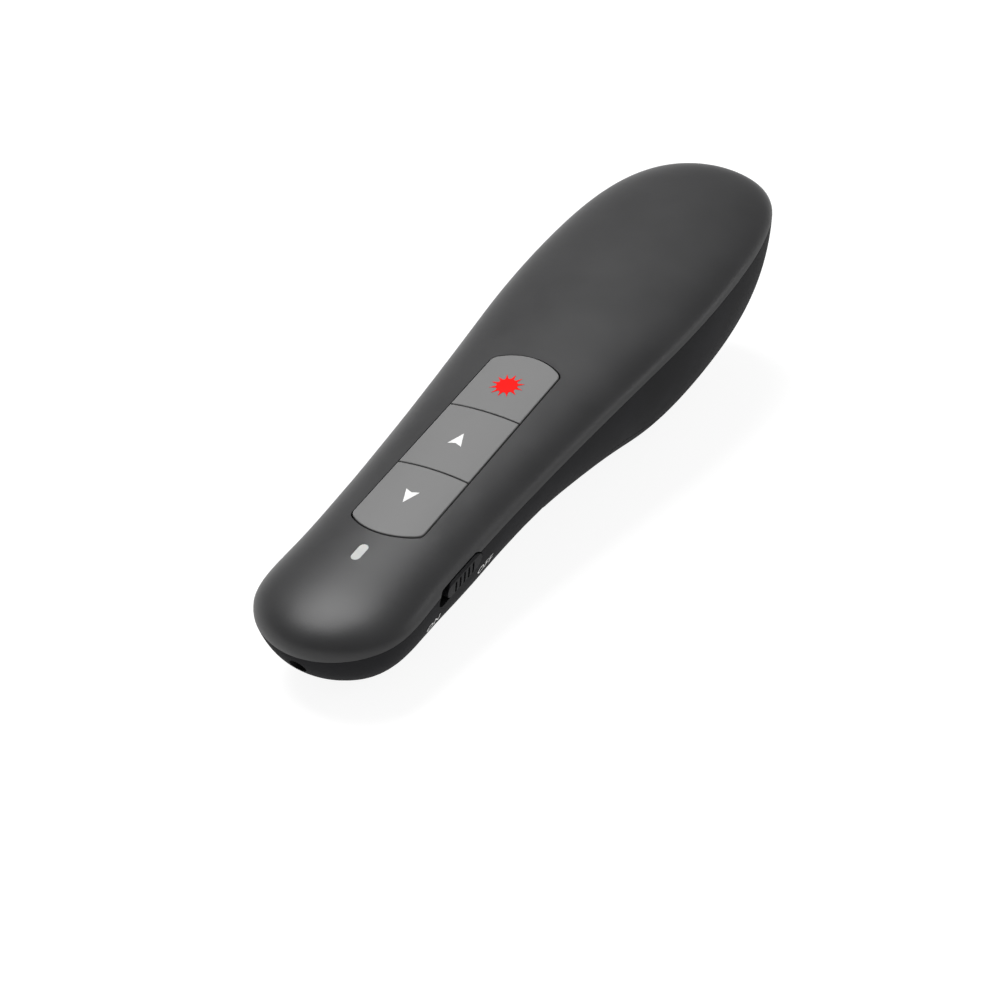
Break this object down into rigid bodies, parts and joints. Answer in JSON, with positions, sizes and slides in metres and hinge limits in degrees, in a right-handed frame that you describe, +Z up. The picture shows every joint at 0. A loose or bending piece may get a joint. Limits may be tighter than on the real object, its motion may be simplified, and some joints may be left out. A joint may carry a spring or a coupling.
{
  "type": "wireless presentation clicker",
  "caption": "Hand-held wireless presentation clicker with a deep palm grip, thumb keys in a row on top, a side slide switch, a laser opening in the nose and a sliding battery cover.",
  "frame": {"origin": "centre of the footprint at table height, under the resting clicker", "axes": "+Y from the laser nose to the palm end, +X toward the slide switch, +Z up from the table"},
  "size_m": [0.0342, 0.1232, 0.0317],
  "materials": {
    "casing": "fine matte texture, charcoal",
    "key_grey": "matte, mid grey",
    "knob_black": "matte, ribbed",
    "window_white": "translucent, milky",
    "board_green": "solder mask over glass fibre laminate",
    "chip_black": "moulded epoxy",
    "switch_black": "moulded nylon",
    "stem_white": "moulded acetal",
    "steel": "plain",
    "nickel": "nickel plated",
    "brass": "turned",
    "gold": "gold flash",
    "lens": "polished",
    "ceramic": "plain",
    "cell_jacket": "satin sleeve, unmarked",
    "plug_white": "plain"
  },
  "bodies": {
    "casing": {"top_cover": "casing", "lower_housing": "casing", "page_down_switch": "switch_black", "page_up_switch": "switch_black", "laser_switch": "switch_black", "power_switch": "steel", "laser_barrel": "brass", "laser_lens": "lens", "laser_diode": "steel", "circuit_board": "board_green", "radio_chip": "chip_black", "crystal": "steel", "capacitors": "ceramic", "status_led": "window_white", "light_pipe": "window_white", "cell_left": "cell_jacket", "cell_right": "cell_jacket", "negative_contact": "nickel", "positive_contact": "nickel", "bridge_contact": "nickel", "negative_spring": "nickel", "bridge_spring": "nickel", "neck_screws": "steel", "deck_screws": "steel", "board_screws": "steel"},
    "page_down": {"page_down_key": "key_grey", "page_down_stem": "stem_white"},
    "page_up": {"page_up_key": "key_grey", "page_up_stem": "stem_white"},
    "laser": {"laser_key": "key_grey", "laser_stem": "stem_white"},
    "slider": {"slide_knob": "knob_black", "power_switch_lever": "stem_white"},
    "cover": {"battery_cover": "casing", "receiver_cap": "knob_black", "plug_shell": "nickel", "plug_tongue": "plug_white", "plug_contacts": "gold"}
  },
  "joints": [
    {"name": "page_down_press", "type": "slide", "parent": "casing", "child": "page_down", "axis": [0, 0.1666, -0.986], "range_m": [0, 0.0005], "stiffness_N_per_m": 800},
    {"name": "page_up_press", "type": "slide", "parent": "casing", "child": "page_up", "axis": [0, 0.1666, -0.986], "range_m": [0, 0.0005], "stiffness_N_per_m": 800},
    {"name": "laser_press", "type": "slide", "parent": "casing", "child": "laser", "axis": [0, 0.1666, -0.986], "range_m": [0, 0.0005], "stiffness_N_per_m": 800},
    {"name": "switch_to_on", "type": "slide", "parent": "casing", "child": "slider", "axis": [0, -0.986, -0.1666], "range_m": [0, 0.0018]},
    {"name": "battery_cover_slide", "type": "slide", "parent": "casing", "child": "cover", "axis": [0, 0.986, 0.1666], "range_m": [0, 0.006]}
  ]
}
